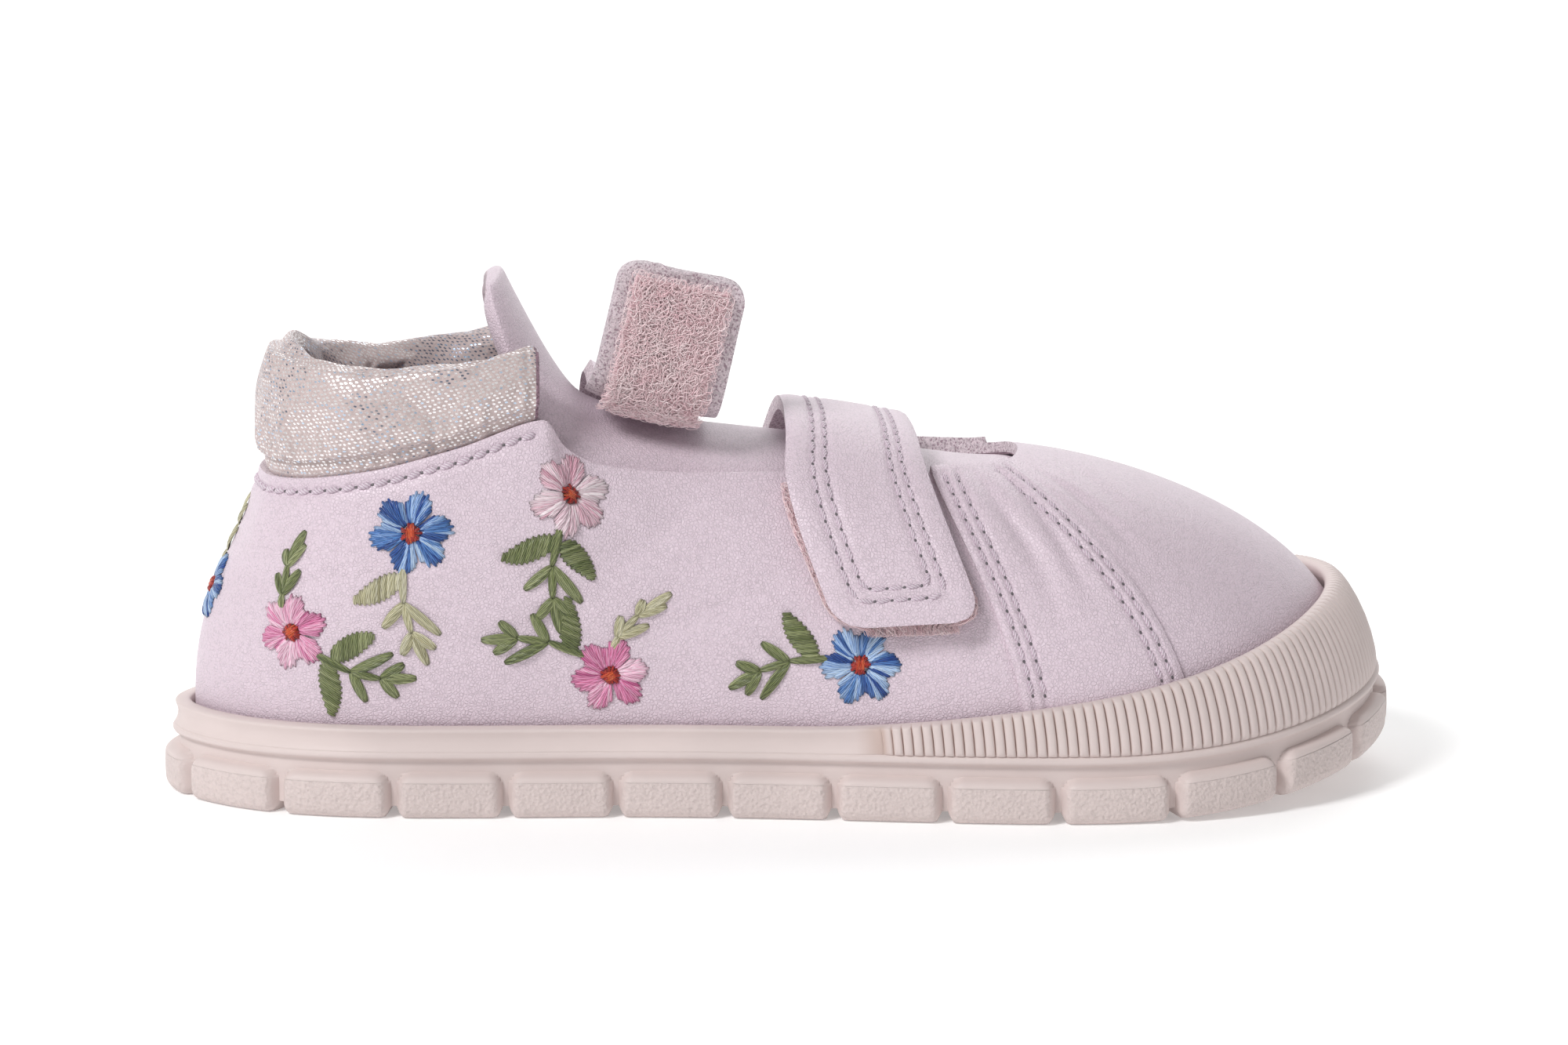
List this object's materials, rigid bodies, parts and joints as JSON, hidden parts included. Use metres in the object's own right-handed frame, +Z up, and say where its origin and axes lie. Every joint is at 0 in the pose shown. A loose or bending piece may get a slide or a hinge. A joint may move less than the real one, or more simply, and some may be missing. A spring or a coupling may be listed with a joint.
{
  "type": "baby boot",
  "caption": "Low soft leather ankle boot for a baby, with a padded shimmer collar, hook-and-loop straps over the instep and a flexible lugged rubber cupsole with a ribbed toe bumper.",
  "frame": {"origin": "centre of the bounding box's underside, on the floor that the boot stands on", "axes": "+X toward the toe, +Z up, the outer (lateral) side of the foot toward -Y"},
  "size_m": [0.1498, 0.0656, 0.0645],
  "materials": {
    "rubber": "matte",
    "leather": "fine grain, satin",
    "shimmer": "foil-dotted shimmer",
    "lining": "matte",
    "loop": "napped loop fabric"
  },
  "bodies": {
    "root": {"sole": "rubber", "upper": "leather", "insole": "lining", "tongue": "leather", "collar": "shimmer", "strap_lower": "leather", "loop_patch_lower": "loop", "strap_upper": "leather", "loop_patch_upper": "loop"}
  },
  "joints": []
}
